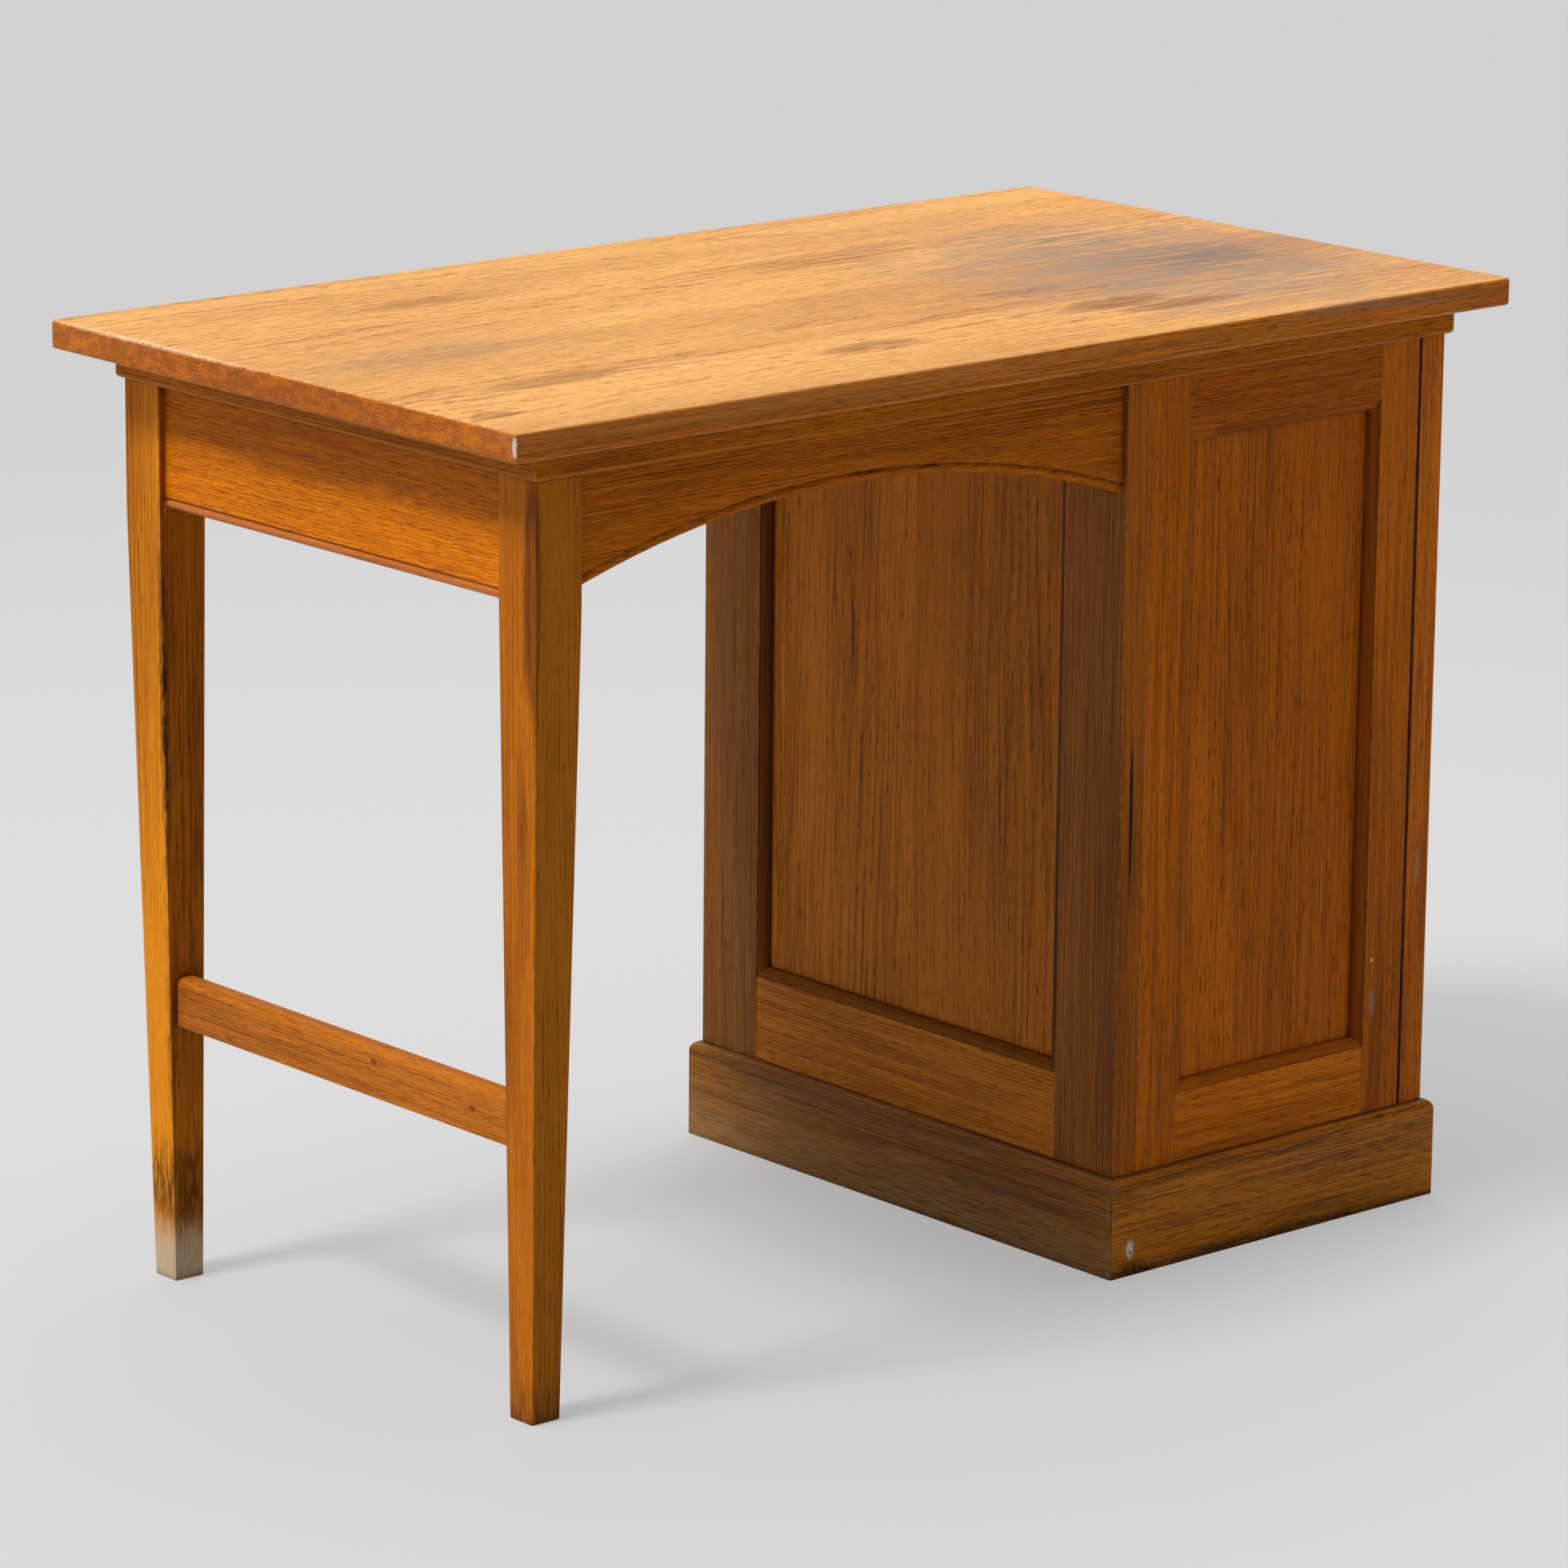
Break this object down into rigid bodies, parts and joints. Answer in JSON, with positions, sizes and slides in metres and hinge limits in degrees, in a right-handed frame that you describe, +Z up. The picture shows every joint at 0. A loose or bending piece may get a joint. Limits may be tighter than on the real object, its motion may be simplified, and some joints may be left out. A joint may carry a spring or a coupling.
{
  "type": "writing desk",
  "caption": "Oak writing desk with an arched back apron, tapered legs at one end and a framed and panelled drawer pedestal at the other.",
  "frame": {"origin": "on the floor, under the middle of the table top", "axes": "+Z up, +X along the desk from the pedestal to the legs, -Y the sitter's side that the drawers open towards, +Y the back with the arched apron"},
  "size_m": [1.04, 0.578, 0.78],
  "materials": {
    "oak_top": "old oil varnish, satin",
    "oak_frame": "old oil varnish, satin",
    "oak_legs": "old oil varnish, satin",
    "oak_rails": "old oil varnish, satin",
    "oak_stiles": "old oil varnish, satin",
    "oak_panels": "old oil varnish, satin",
    "oak_moulding": "old oil varnish, satin",
    "oak_plinth": "old oil varnish, satin",
    "drawer_front_oak": "old oil varnish, satin",
    "drawer_pine": "bare planed pine",
    "knob_oak": "old oil varnish, satin",
    "screw_steel": "plain steel"
  },
  "bodies": {
    "desk": {"table_top": "oak_top", "top_frame_front": "oak_frame", "top_frame_back": "oak_frame", "top_frame_leg_end": "oak_frame", "top_frame_pedestal_end": "oak_frame", "top_frame_cross_rail": "oak_frame", "top_screws": "screw_steel", "leg_front": "oak_legs", "leg_back": "oak_legs", "leg_end_apron": "oak_rails", "arched_back_apron": "oak_rails", "leg_stretcher": "oak_rails", "knee_rail": "oak_rails", "knee_side_front_stile": "oak_stiles", "knee_side_back_stile": "oak_stiles", "knee_side_top_rail": "oak_rails", "knee_side_bottom_rail": "oak_rails", "knee_side_panel": "oak_panels", "knee_side_moulding": "oak_moulding", "outer_side_front_stile": "oak_stiles", "outer_side_back_stile": "oak_stiles", "outer_side_top_rail": "oak_rails", "outer_side_bottom_rail": "oak_rails", "outer_side_panel": "oak_panels", "outer_side_moulding": "oak_moulding", "back_knee_stile": "oak_stiles", "back_outer_stile": "oak_stiles", "back_top_rail": "oak_rails", "back_bottom_rail": "oak_rails", "back_panel": "oak_panels", "back_moulding": "oak_moulding", "plinth_front": "oak_plinth", "plinth_back": "oak_plinth", "plinth_knee_side": "oak_plinth", "plinth_outer_side": "oak_plinth", "glue_blocks": "drawer_pine", "pedestal_bottom": "drawer_pine", "drawer_dividers": "oak_rails", "drawer_runners": "drawer_pine", "drawer_stops": "drawer_pine"},
    "knee_drawer": {"knee_drawer_front": "drawer_front_oak", "knee_drawer_box": "drawer_pine", "knee_drawer_bottom": "drawer_pine", "knee_drawer_knobs": "knob_oak"},
    "top_drawer": {"top_drawer_front": "drawer_front_oak", "top_drawer_box": "drawer_pine", "top_drawer_bottom": "drawer_pine", "top_drawer_knob": "knob_oak"},
    "second_drawer": {"second_drawer_front": "drawer_front_oak", "second_drawer_box": "drawer_pine", "second_drawer_bottom": "drawer_pine", "second_drawer_knob": "knob_oak"},
    "third_drawer": {"third_drawer_front": "drawer_front_oak", "third_drawer_box": "drawer_pine", "third_drawer_bottom": "drawer_pine", "third_drawer_knob": "knob_oak"},
    "bottom_drawer": {"bottom_drawer_front": "drawer_front_oak", "bottom_drawer_box": "drawer_pine", "bottom_drawer_bottom": "drawer_pine", "bottom_drawer_knob": "knob_oak"}
  },
  "joints": [
    {"name": "knee_drawer_slide", "type": "slide", "parent": "desk", "child": "knee_drawer", "axis": [0, -1, 0], "range_m": [0, 0.28]},
    {"name": "top_drawer_slide", "type": "slide", "parent": "desk", "child": "top_drawer", "axis": [0, -1, 0], "range_m": [0, 0.36]},
    {"name": "second_drawer_slide", "type": "slide", "parent": "desk", "child": "second_drawer", "axis": [0, -1, 0], "range_m": [0, 0.36]},
    {"name": "third_drawer_slide", "type": "slide", "parent": "desk", "child": "third_drawer", "axis": [0, -1, 0], "range_m": [0, 0.36]},
    {"name": "bottom_drawer_slide", "type": "slide", "parent": "desk", "child": "bottom_drawer", "axis": [0, -1, 0], "range_m": [0, 0.36]}
  ]
}
